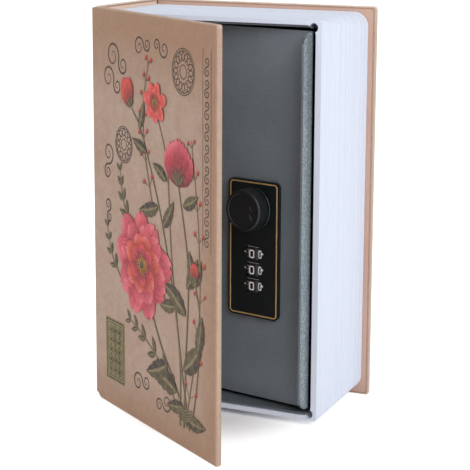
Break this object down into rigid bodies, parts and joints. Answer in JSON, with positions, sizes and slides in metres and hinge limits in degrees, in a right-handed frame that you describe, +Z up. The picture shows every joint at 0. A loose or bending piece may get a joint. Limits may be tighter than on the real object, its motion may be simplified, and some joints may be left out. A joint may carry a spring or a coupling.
{
  "type": "book diversion safe",
  "caption": "Steel cash box with a combination lock hidden in a hardback book: hinged cover, ribbed page block and a recessed inner door.",
  "frame": {"origin": "middle of the spine board's tail edge, on the face that the book stands on", "axes": "+X from the spine to the fore edge, +Y from the front cover to the back cover, +Z up from tail to head"},
  "size_m": [0.113, 0.1216, 0.18],
  "materials": {
    "cover_board": "board wrapped in matt printed kraft paper",
    "endpaper": "matt peach-tan lining paper",
    "page_plastic": "moulded satin white, ribbed like leaves",
    "grey_steel": "grey textured powder coat",
    "black_plastic": "black, smooth",
    "gold_trim": "thin gold line",
    "plated_steel": "bright zinc plate"
  },
  "bodies": {
    "book_case": {"spine_board": "cover_board", "spine_lining": "endpaper", "front_joint_roll": "cover_board", "back_joint_roll": "cover_board", "back_cover_board": "cover_board", "back_endpaper": "endpaper", "page_block": "page_plastic", "steel_box": "grey_steel", "strike_bracket": "plated_steel", "strike_rivet_1": "plated_steel", "strike_rivet_2": "plated_steel", "hinge_pin_lower": "plated_steel", "hinge_pin_upper": "plated_steel", "hinge_washer_lower": "plated_steel", "hinge_washer_upper": "plated_steel"},
    "front_cover": {"front_cover_board": "cover_board", "front_endpaper": "endpaper"},
    "door": {"door_pan": "grey_steel", "lock_plate": "black_plastic", "plate_border": "gold_trim", "lock_housing": "black_plastic", "housing_screw_1": "plated_steel", "housing_screw_2": "plated_steel", "knob_collar": "black_plastic", "dial_spindle": "plated_steel"},
    "turning_knob": {"knob": "black_plastic", "knob_spindle": "plated_steel", "lock_cam": "plated_steel", "cam_screw": "plated_steel"},
    "upper_dial": {"dial_1": "black_plastic"},
    "middle_dial": {"dial_2": "black_plastic"},
    "lower_dial": {"dial_3": "black_plastic"}
  },
  "joints": [
    {"name": "door_hinge", "type": "hinge", "parent": "book_case", "child": "door", "pos_m": [0.0096, -0.00815, 0.09], "axis": [0, 0, -1], "range_deg": [-12.1, 51.9]},
    {"name": "cover_hinge", "type": "hinge", "parent": "book_case", "child": "front_cover", "pos_m": [0.0002, -0.02835, 0.09], "axis": [0, 0, -1], "range_deg": [-34, 146]},
    {"name": "knob_turn", "type": "hinge", "parent": "door", "child": "turning_knob", "pos_m": [0.07384, -0.02192, 0.0937], "axis": [0.2096, 0.9778, 0], "range_deg": [-90, 0]},
    {"name": "upper_dial_spin", "type": "hinge", "parent": "door", "child": "upper_dial", "pos_m": [0.07527, -0.01527, 0.07318], "axis": [0, 0, 1], "continuous": true},
    {"name": "middle_dial_spin", "type": "hinge", "parent": "door", "child": "middle_dial", "pos_m": [0.07527, -0.01527, 0.06588], "axis": [0, 0, 1], "continuous": true},
    {"name": "lower_dial_spin", "type": "hinge", "parent": "door", "child": "lower_dial", "pos_m": [0.07527, -0.01527, 0.05858], "axis": [0, 0, 1], "continuous": true}
  ],
  "couplings": [
    {"joint": "cover_hinge", "follows": "door_hinge", "ratio": 2.8099}
  ]
}
